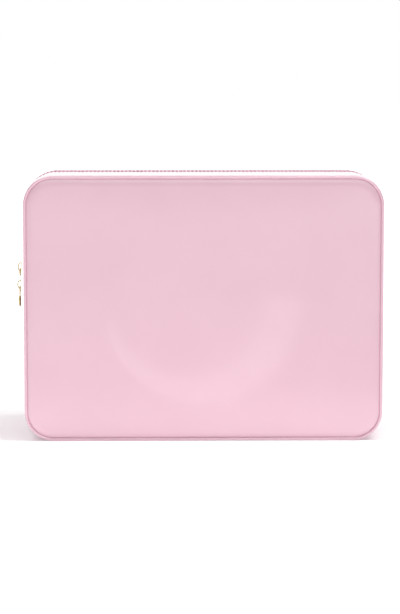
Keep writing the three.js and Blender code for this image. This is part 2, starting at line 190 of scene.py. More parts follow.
def make(name, points_mm, faces, material, body, nodes=(), uvs=None):
    """A smooth-shaded piece that rides on a body and stands for some CAD nodes."""
    mesh = bpy.data.meshes.new(name)
    mesh.from_pydata((np.asarray(points_mm).reshape(-1, 3) * MM).tolist(), [], faces)
    mesh.validate()
    if uvs is not None:
        layer = mesh.uv_layers.new(name="UVMap")
        loops = np.zeros(len(mesh.loops), np.int32)
        mesh.loops.foreach_get("vertex_index", loops)
        layer.data.foreach_set("uv", np.asarray(uvs, np.float32).reshape(-1, 2)[loops].ravel())
    mesh.polygons.foreach_set("use_smooth", [True] * len(mesh.polygons))
    mesh.materials.append(material)
    piece = bpy.data.objects.new(name, mesh)
    bpy.context.scene.collection.objects.link(piece)
    if body:
        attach(piece, body)
    if nodes:
        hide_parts(*nodes)
    return piece


def grid_faces(rows, columns, wrap_rows, wrap_columns, start=0):
    """Quads over a grid of points whose rows come one after another."""
    faces = []
    for i in range(rows if wrap_rows else rows - 1):
        for j in range(columns if wrap_columns else columns - 1):
            a = start + i * columns + j
            b = start + i * columns + (j + 1) % columns
            c = start + (i + 1) % rows * columns + (j + 1) % columns
            d = start + (i + 1) % rows * columns + j
            faces.append((a, d, c, b))
    return faces


def closed_strip(points, is_ring):
    """Faces of a loft through sections. An open run's ends are closed between the section's two halves."""
    rows, columns = points.shape[:2]
    faces = grid_faces(rows, columns, is_ring, True)
    if not is_ring:
        last = (rows - 1) * columns
        for j in range(columns // 2 - 1):
            k = columns - 1 - j
            faces.append((j, j + 1, k - 1, k))
            faces.append((last + j, last + k, last + k - 1, last + j + 1))
    return faces


# Distances from a strip's edge, and how much lower its rounded edge lies there, in its own thicknesses.
ROUNDED = ((0.0, 0.5), (0.12, 0.2), (0.4, 0.03), (0.9, 0.0))
NARROWEST_STRIP = 2.5


def wall_strip(name, front, back, under, thickness, material, body, nodes, is_ring=False, pucker=None,
               rows=14):
    """A strip of wall between two edges, each a pair of s and y arrays, with rounded edges."""
    front_s, front_y = (np.asarray(v, float) for v in front)
    back_s, back_y = (np.asarray(v, float) for v in back)
    width = np.maximum(np.hypot(back_s - front_s, back_y - front_y), NARROWEST_STRIP)
    edge = [d for d, _ in ROUNDED]
    drops = np.array([drop for _, drop in ROUNDED] + [0.0] * rows + [drop for _, drop in ROUNDED[::-1]])
    near = np.array(edge)[None, :] / width[:, None]
    middle = np.linspace(0, 1, rows + 2)[1:-1][None, :]
    first, last = near[:, -1:], 1 - near[:, -1:]
    t = np.concatenate([near, first + (last - first) * middle, 1 - near[:, ::-1]], axis=1)
    s = front_s[:, None] + (back_s - front_s)[:, None] * t
    y = front_y[:, None] + (back_y - front_y)[:, None] * t
    lift = pucker(s, y) if pucker else 0.0
    outer = wall(s, y, under + thickness * drops[None, :] + lift)
    inner = wall(s, y, under + thickness * (1 - drops[None, :]) + lift)
    points = np.concatenate([outer, inner[:, ::-1]], axis=1)
    uv = np.stack([s, y], axis=-1)
    uvs = np.concatenate([uv, uv[:, ::-1]], axis=1) * MM
    return make(name, points, closed_strip(points, is_ring), material, body, nodes, uvs)


def repeated(name, template, template_faces, stations, side, material, body, nodes=(), lift=None):
    """Copies of a small closed form along the zip. Its points are (along, aside, under)."""
    s = stations[:, None] + template[None, :, 0]
    place_s, place_y = zip_line(s, side * template[None, :, 1])
    under = np.broadcast_to(template[None, :, 2], s.shape)
    points = wall(place_s, place_y, under + (lift(place_s, place_y) if lift else 0.0))
    count = len(template)
    faces = [tuple(i * count + v for v in face) for i in range(len(stations)) for face in template_faces]
    uvs = np.stack([place_s, place_y], axis=-1) * MM
    return make(name, points, faces, material, body, nodes, uvs)


def capsule(axis_points, radii_a, radii_b, sides):
    """A closed form round a straight axis along the second coordinate, with its own radii at each point."""
    angles = np.linspace(0, 2 * math.pi, sides, endpoint=False)
    rings = [
        np.stack([ra * np.cos(angles), np.full(sides, b), rb * np.sin(angles)], axis=-1)
        for b, ra, rb in zip(axis_points, radii_a, radii_b)
    ]
    points = np.concatenate(rings)
    faces = grid_faces(len(rings), sides, False, True)
    faces.append(tuple(range(sides)))
    faces.append(tuple(reversed(range(len(points) - sides, len(points)))))
    return points, faces


def two_sided(count, rows):
    """Faces of a panel: count by rows points on its near side, as many on its far side, then two middles."""
    half = count * rows
    faces = grid_faces(count, rows, True, False)
    faces += [tuple(reversed(face)) for face in grid_faces(count, rows, True, False, half)]
    for i in range(count):
        j = (i + 1) % count
        last_i, last_j = i * rows + rows - 1, j * rows + rows - 1
        faces.append((last_i, last_j, 2 * half))
        faces.append((half + last_j, half + last_i, 2 * half + 1))
        faces.append((j * rows, i * rows, half + i * rows, half + j * rows))
    return faces


def towards_middle(edges, rows):
    """Points x, z of a panel: rows of them round its edge, then rows - 2 more shrinking to its middle."""
    x, z = edges
    shrink = np.linspace(1, 0, rows)[1:-1]
    x = np.concatenate([x, x[:, -1:] * shrink], axis=1)
    z = np.concatenate([z, MIDDLE + (z[:, -1:] - MIDDLE) * shrink], axis=1)
    return x, z


# ---------------------------------------------------------------- materials


def srgb(code):
    """A hex colour as linear RGBA."""
    values = [int(code[i : i + 2], 16) / 255 for i in (0, 2, 4)]
    linear = [v / 12.92 if v <= 0.04045 else ((v + 0.055) / 1.055) ** 2.4 for v in values]
    return (*linear, 1.0)


SOCKETS = {
    "color": "Base Color", "roughness": "Roughness", "metallic": "Metallic", "ior": "IOR",
    "coat": "Coat Weight", "coat_roughness": "Coat Roughness", "coat_ior": "Coat IOR",
    "sheen": "Sheen Weight", "sheen_roughness": "Sheen Roughness", "subsurface": "Subsurface Weight",
    "glow": "Emission Strength", "glow_color": "Emission Color",
}


class Nodes:
    """A material's node tree, built with short calls."""

    def __init__(self, name):
        self.material = bpy.data.materials.new(name)
        self.material.use_nodes = True
        self.tree = self.material.node_tree
        self.shader = self.tree.nodes["Principled BSDF"]

    def node(self, kind, inputs=None, **settings):
        made = self.tree.nodes.new(kind)
        for key, value in settings.items():
            setattr(made, key, value)
        for key, value in (inputs or {}).items():
            if isinstance(value, bpy.types.NodeSocket):
                self.tree.links.new(value, made.inputs[key])
            else:
                made.inputs[key].default_value = value
        return made

    def math(self, operation, a, b=0.0):
        return self.node("ShaderNodeMath", {0: a, 1: b}, operation=operation).outputs[0]

    def noise(self, scale, detail=2.0, where=None):
        inputs = {"Scale": scale, "Detail": detail}
        if where is not None:
            inputs["Vector"] = where
        return self.node("ShaderNodeTexNoise", inputs).outputs["Fac"]

    def object_place(self):
        return self.node("ShaderNodeTexCoord").outputs["Object"]

    def uv(self):
        return self.node("ShaderNodeTexCoord").outputs["UV"]

    def mix(self, factor, first, second):
        made = self.node("ShaderNodeMix", data_type="RGBA")
        self.tree.links.new(factor, made.inputs["Factor"])
        made.inputs["A"].default_value = first
        made.inputs["B"].default_value = second
        return made.outputs["Result"]

    def spread(self, value, low, high, to_low=0.0, to_high=1.0):
        inputs = {"Value": value, "From Min": low, "From Max": high, "To Min": to_low, "To Max": to_high}
        return self.node("ShaderNodeMapRange", inputs).outputs["Result"]

    def product(self, first, *others):
        for other in others:
            first = self.math("MULTIPLY", first, other)
        return first

    def set(self, **values):
        for key, value in values.items():
            socket = self.shader.inputs[SOCKETS[key]]
            if isinstance(value, bpy.types.NodeSocket):
                self.tree.links.new(value, socket)
            else:
                socket.default_value = value

    def bump(self, height, strength, distance):
        made = self.node("ShaderNodeBump", {"Height": height, "Strength": strength, "Distance": distance})
        self.tree.links.new(made.outputs["Normal"], self.shader.inputs["Normal"])


def patent_material(name, light, dark):
    """Patent PU: a smooth coat with a faint slow ripple over a very slightly mottled pink."""
    m = Nodes(name)
    place = m.object_place()
    mottle = m.spread(m.noise(14, 3, place), 0.3, 0.7)
    m.set(color=m.mix(mottle, srgb(dark), srgb(light)), ior=1.5)
    m.set(coat=1.0, coat_roughness=0.03, coat_ior=1.55)
    m.set(roughness=m.spread(m.noise(260, 2, place), 0.2, 0.8, 0.14, 0.2))
    m.bump(m.noise(34, 1.5, place), 0.05, 0.002)
    return m.material


def woven_material(name, light, dark, threads_per_m, roughness=0.85):
    """A plain weave, two crossing runs of threads, from the piece's own flat coordinates. Its colour is
    darker where the weave sinks between the threads, which is painted shade, and it varies at random with the
    slub.
    """
    m = Nodes(name)
    place = m.uv()
    split = m.node("ShaderNodeSeparateXYZ", {"Vector": place})
    waves = [
        m.math("SINE", m.math("MULTIPLY", split.outputs[axis], threads_per_m * 2 * math.pi)) for axis in "XY"
    ]
    weave = m.math("MULTIPLY", waves[0], waves[1])
    slub = m.noise(420, 2, place)
    height = m.math("ADD", weave, slub)
    # Painted shade: the colour darkens where the weave's height sinks between the threads.
    m.set(color=m.mix(m.spread(height, -0.6, 1.6), srgb(dark), srgb(light)), roughness=roughness)
    m.set(sheen=0.25, sheen_roughness=0.5)
    m.bump(height, 0.35, 0.00025)
    return m.material


def gold_material():
    """Polished pale gold plating with faint wear and hairline scratches."""
    m = Nodes("pale_gold")
    place = m.object_place()
    wear = m.spread(m.noise(900, 3, place), 0.35, 0.65)
    m.set(color=m.mix(wear, srgb("b09e6c"), srgb("bcab7c")), metallic=1.0)
    m.set(roughness=m.spread(m.noise(2600, 2, place), 0.2, 0.8, 0.14, 0.22))
    m.bump(m.noise(5000, 2, place), 0.04, 0.00003)
    return m.material


def nylon_material():
    """Slightly translucent moulded nylon."""
    m = Nodes("nylon_coil")
    place = m.object_place()
    m.set(color=m.mix(m.noise(500, 2, place), srgb("dfa7bb"), srgb("eebccc")), subsurface=0.1)
    m.set(roughness=m.spread(m.noise(1500, 2, place), 0.2, 0.8, 0.3, 0.5))
    m.bump(m.noise(1800, 2, place), 0.1, 0.0002)
    return m.material


def thread_material():
    """Sewing thread, with the slant of its twist, its colour darker in the twist's grooves as painted shade.
    """
    m = Nodes("thread")
    twist = m.node("ShaderNodeTexWave", {"Vector": m.object_place(), "Scale": 900.0, "Distortion": 1.0},
                   bands_direction="DIAGONAL").outputs["Fac"]
    # Painted shade: the colour follows the twist's bands, darker in their grooves.
    m.set(color=m.mix(twist, srgb("d893ac"), srgb("f0bccd")), roughness=0.6, sheen=0.2)
    m.bump(twist, 0.4, 0.0002)
    return m.material


def board_material(name, light, dark, scale):
    """Pressed board or foam: fine grain over a soft blotch."""
    m = Nodes(name)
    place = m.object_place()
    grain = m.noise(scale, 6, place)
    m.set(color=m.mix(m.spread(grain, 0.3, 0.7), srgb(dark), srgb(light)), roughness=0.9)
    m.bump(grain, 0.3, 0.0004)
    return m.material


PATENT = patent_material("patent_pink", "d9afbe", "d6acbb")
TAPE = woven_material("zip_tape", "eebccc", "c987a0", 900)
BINDING = woven_material("binding_tape", "efbfce", "cf8fa6", 1100)
LINING_CLOTH = woven_material("lining_cloth", "f3cfda", "dba9ba", 1500, 0.8)
GOLD = gold_material()
NYLON = nylon_material()
THREAD = thread_material()
BOARD = board_material("stiffener_board", "dcd6cb", "c4bcae", 700)
FOAM = board_material("foam", "f5eed6", "e3d9b8", 1600)

# The boards and foam stay the frame's own pieces, deep inside the case.
for node_name, cad_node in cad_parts.items():
    cad_node.data.materials.clear()
    cad_node.data.materials.append(FOAM if node_name.endswith("foam") else BOARD)

# ---------------------------------------------------------------- front and back panels

STEP = 3.0
PANEL_SKIN = 1.0
UNDER_PIPING = 0.3
EDGE_INSET = 2 * PIPING_RADIUS + PIPING_LIFT - UNDER_PIPING
ROLL_WIDTH = 7.0
ROLL_DEPTH = 1.8
ROLL_STEEPNESS = 2.2
ROLL_TURN = 0.96
FACE_PROUD = 0.4
FACE_CROWN = 0.5
RIM_END = 22.0
RIM_ROWS = 30
FACE_ROWS = 60


def panel_skin(name, side, body, node):
    """The padded skin: a rolled edge along the seam, then a face that is very slightly crowned."""
    stations = round_case(STEP)
    rim = EDGE_INSET + (RIM_END - EDGE_INSET) * np.linspace(0, 1, RIM_ROWS) ** ROLL_STEEPNESS
    x, z = towards_middle(outline(stations[:, None], rim[None, :]), FACE_ROWS)
    count, rows = x.shape
    inset = np.concatenate([rim, np.full(rows - RIM_ROWS, RIM_END)])
    to_edge = np.clip(1 - (inset - EDGE_INSET) / ROLL_WIDTH, 0, 1)
    roll = 1 - np.sqrt(1 - ROLL_TURN * to_edge**ROLL_STEEPNESS)
    roll = ROLL_DEPTH * roll / (1 - math.sqrt(1 - ROLL_TURN))
    u, v = x / (WIDTH / 2), (z - MIDDLE) / MIDDLE
    crown = FACE_CROWN * (1 - np.clip(1 - u**2, 0, 1) * np.clip(1 - v**2, 0, 1))
    face_y = FRONT_Y - FACE_PROUD
    outer_y = face_y + roll[None, :] + crown
    outer = np.stack([x, outer_y, z], axis=-1).reshape(-1, 3)
    inner = np.stack([x, outer_y + PANEL_SKIN, z], axis=-1).reshape(-1, 3)
    points = np.concatenate([outer, inner, [[0, face_y, MIDDLE], [0, face_y + PANEL_SKIN, MIDDLE]]])
    faces = two_sided(count, rows)
    if side > 0:
        points[:, 1] *= -1
        faces = [tuple(reversed(face)) for face in faces]
    skin = make(name, points, faces, PATENT, body, [node], points[:, [0, 2]] * MM)


PIPING_STEP = 2.0
FLANGE = 0.5
FLANGE_TURN = math.radians(45)


def piping(name, side, body, node):
    """The welt: a round bead with its sewn flange tucked into the seam."""
    stations = round_case(PIPING_STEP)
    angles = np.linspace(0, 2 * math.pi, 18, endpoint=False)
    flange = FLANGE * np.clip(np.cos(angles - FLANGE_TURN), 0, 1) ** 6
    inset = PIPING_LIFT + PIPING_RADIUS + PIPING_RADIUS * np.cos(angles) + flange
    y = side * (PIPING_Y - PIPING_RADIUS * np.sin(angles) - flange)
    x, z = outline(stations[:, None], inset[None, :])
    points = np.stack([x, np.broadcast_to(y, x.shape), z], axis=-1)
    uvs = np.stack(np.broadcast_arrays(stations[:, None], 10 * angles[None, :]), axis=-1) * MM
    make(name, points, closed_strip(points, True), PATENT, body, [node], uvs)


for prefix, side, body in (("front", -1, "door"), ("back", 1, "body")):
    panel_skin(f"{prefix}_panel_skin", side, body, f"{prefix}_panel")
    piping(f"{prefix}_welt", side, body, f"{prefix}_piping")

# ---------------------------------------------------------------- gusset, zip tapes and lining

# Height, wavelength and start of each run of puckers beside the zip, and how far they reach.
PUCKERS = ((0.16, 17.0, 0.0), (0.1, 7.3, 1.0))
PUCKER_REACH = 16.0
FAR_FROM_ZIP = 60.0


def gathered(s, y):
    """Faint puckers along the stitched zip edge, half as high on top, fading out across the wall."""
    along = np.abs(s)
    _, zip_y = zip_line(s, 0)
    away = np.where(along > CURVE_END, FAR_FROM_ZIP, np.abs(y - zip_y))
    ripple = sum(height * np.sin(2 * math.pi * along / length + start) for height, length, start in PUCKERS)
    calm = np.where(along > TOP_CORNER_END, 1.0, 0.5)
    return ripple * calm * np.exp(-away / PUCKER_REACH) * np.clip((away - SKIN_EDGE) / 5, 0.35, 1)


zip_stations = along_zip(STEP)
case_stations = round_case(STEP)
on_base = np.abs(case_stations) > CURVE_END
ZIP_END_TURN = 7.0


def body_front(aside, edge_y):
    """The front edge of the body's walls: beside the zip, then forward to edge_y and along the base."""
    s, y = zip_line(case_stations, aside)
    past = np.clip((np.abs(case_stations) - CURVE_END) / ZIP_END_TURN, 0, 1)
    end_s, _ = zip_line(CURVE_END, aside)
    start = end_s + (np.abs(case_stations) - CURVE_END) * (HALF_ROUND - end_s) / (HALF_ROUND - CURVE_END)
    s = np.where(on_base, np.sign(case_stations) * start, s)
    y = np.where(on_base, -ZIP_FRONT + (ZIP_FRONT - edge_y) * past, y)
    return s, y


front = body_front(SKIN_EDGE, WALL_EDGE_Y)
wall_strip("body_gusset_skin", front, (front[0], np.full(len(front[0]), WALL_EDGE_Y)), 0, SKIN, PATENT,
           "body", ["body_gusset"], True, gathered, 22)
back = zip_line(zip_stations, -SKIN_EDGE)
wall_strip("door_gusset_skin", (back[0], np.full(len(back[0]), -WALL_EDGE_Y)), back, 0, SKIN, PATENT,
           "door", ["door_gusset"], False, gathered, 18)

LINING_SLACK = 0.22


def loose(s, y):
    """The lining is a little slack between its seams."""
    return LINING_SLACK * np.sin(s / 19.0 + 0.5 * np.sin(y / 11.0)) * np.cos(y / 23.0 + 0.7)


front = body_front(LINING_EDGE, LINING_Y)
wall_strip("body_lining_cloth", front, (front[0], np.full(len(front[0]), LINING_Y)), LINING_UNDER, LINING,
           LINING_CLOTH, "body", ["body_lining"], True, loose, 14)
short = zip_stations[np.abs(zip_stations) < CURVE_START + 0.9 * CURVE_LENGTH]
back = zip_line(short, -LINING_EDGE)
wall_strip("door_lining_cloth", (back[0], np.full(len(back[0]), -LINING_Y)), back, LINING_UNDER, LINING,
           LINING_CLOTH, "door", ["door_lining"], False, loose, 12)

for body, direction in (("body", 1), ("door", -1)):
    near = zip_line(zip_stations, direction * TAPE_FROM)
    far = zip_line(zip_stations, direction * TAPE_TO)
    wall_strip(f"{body}_tape", near, far, TAPE_UNDER, TAPE_THICKNESS, TAPE, body, [f"{body}_zip_tape"],
               rows=4)

# ---------------------------------------------------------------- zip coils and stitching

COIL_PITCH = 2.0
# From a tooth's head, just across the zip's middle line, to its foot: place, half length and half height.
TOOTH = (
    (-0.55, 0.15, 0.2), (-0.42, 0.5, 0.6), (-0.1, 0.68, 0.82), (0.4, 0.66, 0.86),
    (1.1, 0.5, 0.78), (1.8, 0.46, 0.74), (2.2, 0.36, 0.6), (2.4, 0.12, 0.2),
)
tooth, tooth_faces = capsule(*zip(*TOOTH), 10)
tooth[:, 2] += COIL_UNDER + COIL_THICKNESS / 2
coil_stations = evenly_along_zip(COIL_PITCH)
repeated("body_coil", tooth, tooth_faces, coil_stations, 1, NYLON, "body", ["body_zip_coil"])
repeated("door_coil", tooth, tooth_faces, coil_stations[:-1] + np.diff(coil_stations) / 2, -1, NYLON, "door",
         ["door_zip_coil"])

STITCH_PITCH = 3.4
STITCH_LENGTH = 2.7
STITCH_ASIDE = SKIN_EDGE + 1.8
STITCH_UNDER = -0.24
# Place along a stitch, in its own lengths, and its half thickness there.
STITCH = ((-0.5, 0.08), (-0.42, 0.2), (-0.2, 0.27), (0.0, 0.3), (0.2, 0.27), (0.42, 0.2), (0.5, 0.08))
stitch_place, stitch_radius = zip(*STITCH)
stitch, stitch_faces = capsule(np.array(stitch_place) * STITCH_LENGTH, stitch_radius, stitch_radius, 8)
stitch = stitch[:, [1, 0, 2]]
stitch_faces = [tuple(reversed(face)) for face in stitch_faces]


def stitch_row(name, side, body, margin=0.0):
    """A row of stitches beside the zip, half sunk in the skin, that ends a margin short of the zip's ends."""
    row = stitch + np.array([0, STITCH_ASIDE, STITCH_UNDER])
    stations = evenly_along_zip(STITCH_PITCH)
    stations = stations[np.abs(stations) < CURVE_END - margin]
    repeated(name, row, stitch_faces, stations, side, THREAD, body, lift=gathered)


stitch_row("body_topstitch", 1, "body")
stitch_row("door_topstitch", -1, "door", 1.0)

# ---------------------------------------------------------------- panel linings, bindings and the hinge

INNER_Y = 66.55
INNER_CLOTH = 0.7
INNER_EASE = 0.15
# Insets from the outline, and how far the soft edge sinks at each.
INNER_RIM = ((4.5, 0.7), (4.6, 0.35), (5.0, 0.1), (5.8, 0), (8, 0), (12, 0), (17, 0), (22, 0))
INNER_ROWS = 22


def inner_panel(name, side, body, node):
    """The lining over a panel's board, with a soft rounded edge."""
    insets, sink = (np.array(v, float) for v in zip(*INNER_RIM))
    x, z = towards_middle(outline(round_case(STEP)[:, None], insets[None, :]), INNER_ROWS)
    count, rows = x.shape
    sink = np.concatenate([sink, np.zeros(rows - len(sink))])
    ease = INNER_EASE * np.sin(x / 31.0 + 1.3) * np.sin(z / 27.0)
    face_y = INNER_Y + sink + np.where(sink > 0, 0, ease)
    near = np.stack([x, face_y, z], axis=-1).reshape(-1, 3)
    far = np.stack([x, np.full_like(x, INNER_Y + INNER_CLOTH), z], axis=-1).reshape(-1, 3)
    points = np.concatenate([near, far, [[0, INNER_Y, MIDDLE], [0, INNER_Y + INNER_CLOTH, MIDDLE]]])
    faces = two_sided(count, rows)
    points[:, 1] *= side
    if side < 0:
        faces = [tuple(reversed(face)) for face in faces]
    make(name, points, faces, LINING_CLOTH, body, [node], points[:, [0, 2]] * MM)


inner_panel("front_lining_cloth", -1, "door", "front_lining")
inner_panel("back_lining_cloth", 1, "body", "back_lining")

BINDING_WIDTH = 8.0
edge_s = case_stations
wall_strip("back_seam_binding", (edge_s, np.full(len(edge_s), LINING_Y - BINDING_WIDTH)),
           (edge_s, np.full(len(edge_s), LINING_Y)), BINDING_UNDER, LINING, BINDING, "body", ["back_binding"],
           True, rows=3)
edge_s = zip_stations[np.abs(zip_stations) < CURVE_START + 0.6 * CURVE_LENGTH]
wall_strip("front_seam_binding", (edge_s, np.full(len(edge_s), -LINING_Y)),
           (edge_s, np.full(len(edge_s), BINDING_WIDTH - LINING_Y)), BINDING_UNDER, LINING, BINDING, "door",
           ["front_binding"], rows=3)

HINGE_HALF_WIDTH = 126.0
HINGE_BACK = 50.0
HINGE_UP = 20.0
HINGE_TURN = 2.5
HINGE_CLOTH = 0.5
HINGE_FROM_LINING = 0.6


def hinge_fabric():
    """The fabric hinge, sewn to the base lining behind and to the door lining in front."""
    y_up, z_flat = HINGE_FROM_LINING - LINING_Y, BINDING_UNDER
    flat = [(y, z_flat) for y in np.linspace(-HINGE_BACK, y_up + HINGE_TURN, 10)]
    turn = [(y_up + HINGE_TURN * (1 - math.sin(a)), z_flat + HINGE_TURN * (1 - math.cos(a)))
            for a in np.linspace(0, math.pi / 2, 9)[1:]]
    up = [(y_up, z) for z in np.linspace(z_flat + HINGE_TURN, HINGE_UP, 10)[1:]]
    path = np.array(flat + turn + up)
    direction = np.gradient(path, axis=0)
    direction /= np.linalg.norm(direction, axis=1, keepdims=True)
    offset = HINGE_CLOTH / 2 * np.stack([direction[:, 1], -direction[:, 0]], axis=-1)
    section = np.concatenate([path - offset, (path + offset)[::-1]])
    xs = np.linspace(-HINGE_HALF_WIDTH, HINGE_HALF_WIDTH, 61)[:, None]
    points = np.stack(np.broadcast_arrays(xs, section[None, :, 0], section[None, :, 1]), axis=-1)
    run = 2.0 * np.concatenate([np.arange(len(path)), np.arange(len(path))[::-1]])
    uvs = np.stack(np.broadcast_arrays(xs, run[None, :]), axis=-1) * MM
    faces = closed_strip(points, False)
    hinge = make("hinge_fabric", points, faces, BINDING, None, ["hinge_strip"], uvs)
    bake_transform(hinge)


hinge_fabric()

# ---------------------------------------------------------------- small stops at the zip's ends

# Place along a stop, and how thick it is there, in halves of its CAD node's box. It is pinched in the middle.
STOP = (
    (-1, 0.45), (-0.92, 0.86), (-0.6, 1), (-0.2, 0.9), (0.2, 0.9), (0.6, 1), (0.92, 0.86), (1, 0.45),
)
for side_name in ("left", "right"):
    low, high = box_mm(f"zip_stop_{side_name}")
    size = (high - low) / 2
    place, bulge = np.array(STOP).T
    crimp, crimp_faces = capsule(place * size[0], bulge * size[1], bulge * size[2], 16)
    crimp = crimp[:, [1, 0, 2]] + (high + low) / 2
    crimp_faces = [tuple(reversed(face)) for face in crimp_faces]
    node = f"zip_stop_{side_name}"
    make(f"crimped_stop_{side_name}", crimp, crimp_faces, GOLD, "body", [node])

# ---------------------------------------------------------------- sliders and pulls

# A slider: two plates, and the bail that holds its pull.
SLIDER_LENGTH = 12.5
HEAD_HALF_WIDTH = 5.2
TAIL_HALF_WIDTH = 3.8
WAIST_START = -1.0
WAIST_LENGTH = 3.5
SLIDER_LIFT = 0.3
PLATE_THICKNESS = 1.0
LOWER_PLATE_UNDER = COIL_UNDER + COIL_THICKNESS + 0.4
BAIL_LENGTH = 8.6
BAIL_HEIGHT = 3.1
BAIL_WIDTH = 1.8
BAIL_THICKNESS = 1.0
BAIL_SUNK = 0.3
BAIL_STEPS = 25
PLATE_CROWN = 0.25

# The web between the plates, and the rails at the top plate's edges.
WEB_TOWARDS_HEAD = 2.6
WEB_HALF_LENGTH = 1.7
WEB_HALF_WIDTH = 0.3
WEB_SUNK = 0.2
WEB_STEPS = 4
RAIL_HALF_HEIGHT = 0.45
RAIL_HALF_WIDTH = 0.4
RAIL_INSET = 0.45
RAIL_ENDS = (1.6, 1.8)
RAIL_STEPS = 15

# A pull, about the bail's lower leg.
LEG_DROP = (BAIL_LENGTH - BAIL_THICKNESS) / 2
BAR_ABOVE_LEG = 2.2
EYE_HALF_WIDTH = 1.9
EYE_END = 5.2
EYE_HALF_THICKNESS = (0.45, 0.42)
EYE_STEPS = 64
FRAME_LIFT = 2.05
DROP_START = 5.2
PULL_TIP = 16.6
DROP_HALF_WIDTH = 3.6
DROP_FLATNESS = 0.42
PULL_LEAN = {"upper": math.radians(80), "lower": 0.0}
SLIDER_HEIGHT = {"upper": 142.0, "lower": 126.4}

# A plate from the middle of its top, over its rim, to the middle of its underside: size and lift. Lifts
# nearer to zero than RIM_LIFT are on the rim.
PLATE_PROFILE = (
    (0.0, 1.0), (0.3, 0.96), (0.6, 0.84), (0.82, 0.62), (0.93, 0.42), (0.985, 0.16),
    (1.0, -0.1), (1.0, -0.5), (0.985, -0.8), (0.93, -1.0), (0.6, -1.0), (0.0, -1.0),
)
PLATE_STEPS = 72
RIM_LIFT = 0.42
RIM_SPREAD = 0.9


def squared_circle(angles, power):
    """Cosines and sines of a unit circle whose sides are flattened, more so as power nears zero."""
    c, s = np.cos(angles), np.sin(angles)
    return np.sign(c) * np.abs(c) ** power, np.sign(s) * np.abs(s) ** power


def plate_half_width(z):
    """Half a slider's width at z, which widens smoothly from its tail to its head."""
    towards_head = np.clip((z - WAIST_START) / WAIST_LENGTH, 0, 1)
    return TAIL_HALF_WIDTH + (HEAD_HALF_WIDTH - TAIL_HALF_WIDTH) * towards_head**2 * (3 - 2 * towards_head)


def dome_plate(head_up, top_x, under_x, dome):
    """A slider's plate: waisted outline, rounded rim, and a face that is slightly domed."""
    t = np.linspace(0, 2 * math.pi, PLATE_STEPS, endpoint=False)
    z, y = squared_circle(t, 0.62)
    z = SLIDER_LENGTH / 2 * z
    y = plate_half_width(z) * y
    scales, lifts = np.array(PLATE_PROFILE).T
    middle_x, half = (top_x + under_x) / 2, (under_x - top_x) / 2
    rise = np.where(lifts > 0, -half - dome * np.clip(lifts - RIM_LIFT, 0, 1), half)
    x = middle_x + np.where(np.abs(lifts) >= RIM_LIFT, rise, half * -lifts / RIM_SPREAD)
    points = np.stack([
        np.broadcast_to(x[:, None], (len(x), PLATE_STEPS)),
        y[None, :] * scales[:, None],
        z[None, :] * scales[:, None] * head_up,
    ], axis=-1).reshape(-1, 3)
    faces = grid_faces(len(scales), PLATE_STEPS, False, True)
    return points, (faces if head_up > 0 else [tuple(reversed(face)) for face in faces])


def swept_loop(path, normals, half_a, half_b, is_ring, sides=12, taper=None):
    """A rounded bar swept along a path. half_a is measured along normals, half_b across them."""
    path, normals = np.asarray(path, float), np.asarray(normals, float)
    if is_ring:
        tangent = np.roll(path, -1, 0) - np.roll(path, 1, 0)
    else:
        tangent = np.gradient(path, axis=0)
    tangent /= np.linalg.norm(tangent, axis=1, keepdims=True)
    across = np.cross(tangent, normals)
    angles = np.linspace(0, 2 * math.pi, sides, endpoint=False)
    bulge_a, bulge_b = squared_circle(angles, 0.7)
    size = np.ones(len(path)) if taper is None else np.asarray(taper)
    points = (path[:, None] + (half_a * size[:, None] * bulge_a[None, :])[..., None] * normals[:, None]
              + (half_b * size[:, None] * bulge_b[None, :])[..., None] * across[:, None])
    faces = grid_faces(len(path), sides, is_ring, True)
    if not is_ring:
        faces.append(tuple(range(sides)))
        faces.append(tuple(reversed(range((len(path) - 1) * sides, len(path) * sides))))
    return points.reshape(-1, 3), faces


def joined(parts):
    """Several closed forms as one list of points and faces."""
    points, faces, start = [], [], 0
    for part_points, part_faces in parts:
        points.append(part_points)
        faces += [tuple(start + v for v in face) for face in part_faces]
        start += len(part_points)
    return np.concatenate(points), faces


